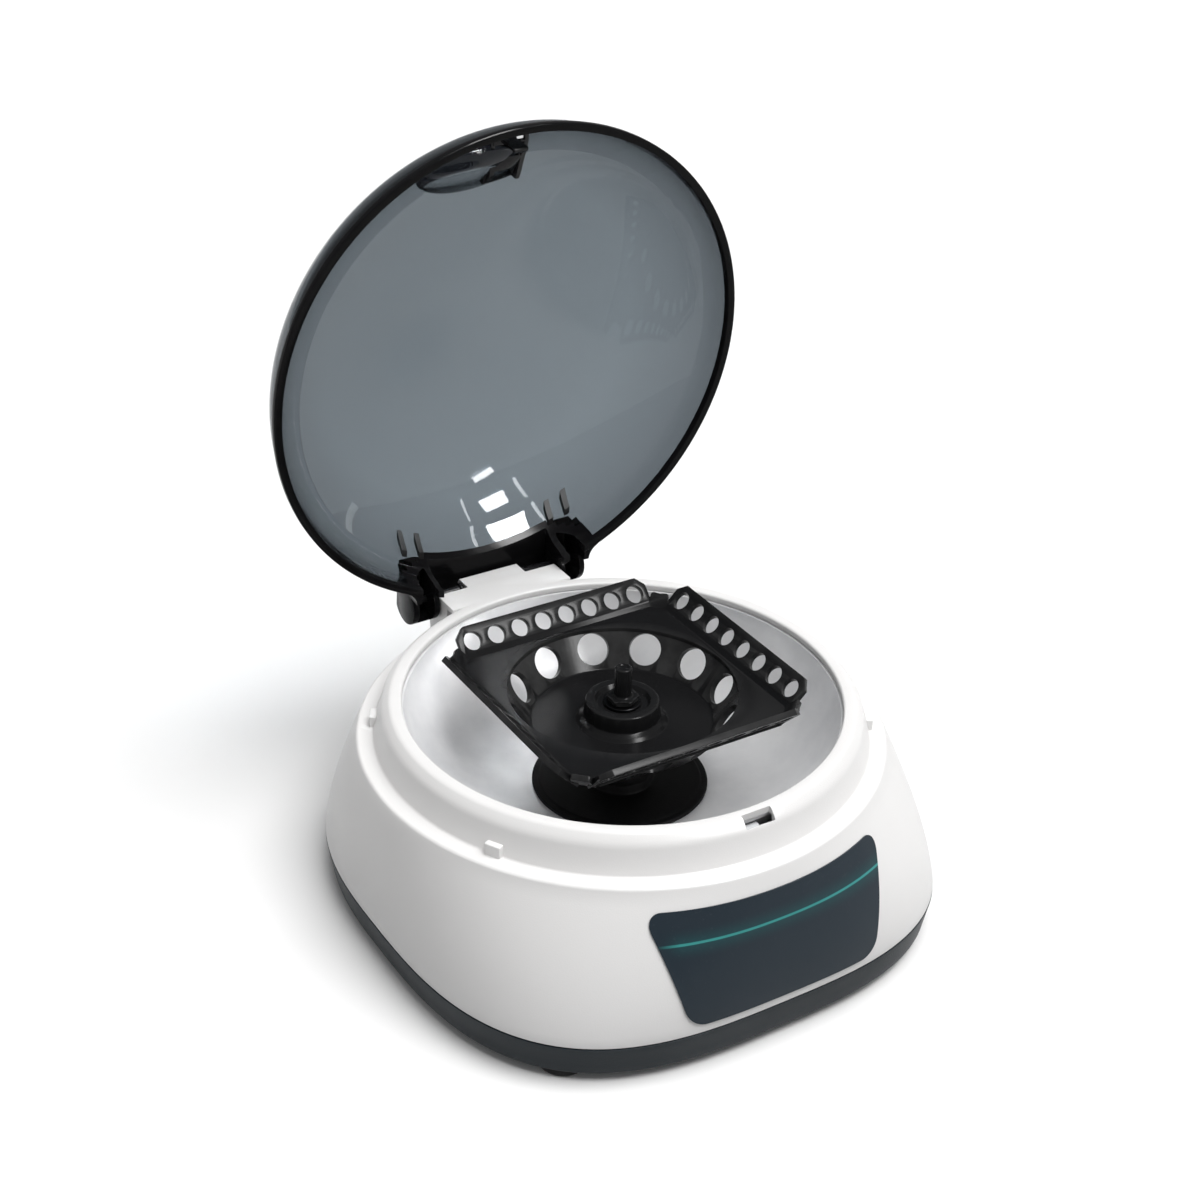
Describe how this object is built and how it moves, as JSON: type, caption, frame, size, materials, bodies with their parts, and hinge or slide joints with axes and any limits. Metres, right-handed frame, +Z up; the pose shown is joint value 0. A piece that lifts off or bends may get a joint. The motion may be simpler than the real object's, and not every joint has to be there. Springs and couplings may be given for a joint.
{
  "type": "mini centrifuge",
  "caption": "Small bench centrifuge with a rounded two-part case, a clear domed lid on a rear hinge and a square strip and tube rotor in a metal bowl.",
  "frame": {"origin": "on the bench, under the middle of the whole object with its lid open", "axes": "+Z up, -Y towards the front with the latch and the front panel, +X to the right seen from the front, hinge at the back along X"},
  "size_m": [0.184, 0.2061, 0.2405],
  "materials": {
    "white": "fine satin moulding",
    "slate": "fine satin moulding",
    "panel": "smooth printed film",
    "smoke": "polished clear smoke grey",
    "dark": "smooth",
    "gloss_black": "polished",
    "black": "fine satin",
    "rubber": "matt",
    "grey": "satin",
    "satin": "satin spun",
    "steel": "turned",
    "board": "solder mask"
  },
  "bodies": {
    "base": {"base_tray": "slate", "upper_shell": "white", "front_panel": "panel", "chamber_bowl": "satin", "chamber_seal": "rubber", "motor_plate": "steel", "motor_can": "steel", "shaft_bearing": "steel", "motor_damper_1": "rubber", "motor_damper_2": "rubber", "motor_damper_3": "rubber", "foot_1": "rubber", "foot_2": "rubber", "foot_3": "rubber", "foot_4": "rubber", "case_screw_1": "steel", "case_screw_2": "steel", "case_screw_3": "steel", "case_screw_4": "steel", "circuit_board": "board", "power_inlet": "black", "switch_bezel": "black", "latch_housing": "grey", "catch_pin": "steel", "catch_spring": "steel", "reed_sensor": "black", "hinge_pin_left": "dark", "hinge_pin_right": "dark"},
    "lid": {"lid_dome": "smoke", "latch_bracket": "dark", "lid_magnet": "steel"},
    "rotor": {"rotor": "gloss_black", "drive_hub": "dark", "motor_shaft": "steel", "nut_washer": "steel"},
    "nut": {"rotor_nut": "gloss_black"},
    "switch": {"switch_rocker": "black"},
    "catch": {"latch_catch": "grey"}
  },
  "joints": [
    {"name": "lid_hinge", "type": "hinge", "parent": "base", "child": "lid", "pos_m": [0, 0.08244, 0.06844], "axis": [1, 0, 0], "range_deg": [0, 84.3]},
    {"name": "rotor_spin", "type": "hinge", "parent": "base", "child": "rotor", "pos_m": [0, -0.0055, 0.061], "axis": [0, 0, 1], "continuous": true},
    {"name": "nut_turn", "type": "hinge", "parent": "rotor", "child": "nut", "pos_m": [0, -0.0055, 0.07], "axis": [0, 0, 1], "continuous": true},
    {"name": "power_rocker", "type": "hinge", "parent": "base", "child": "switch", "pos_m": [-0.0185, 0.0827, 0.03], "axis": [0, 0, 1], "range_deg": [-16, 0]},
    {"name": "catch_pivot", "type": "hinge", "parent": "base", "child": "catch", "pos_m": [0, -0.0805, 0.054], "axis": [-1, 0, 0], "range_deg": [0, 5], "stiffness_Nm_per_rad": 0.03, "springref_deg": -8.59}
  ]
}
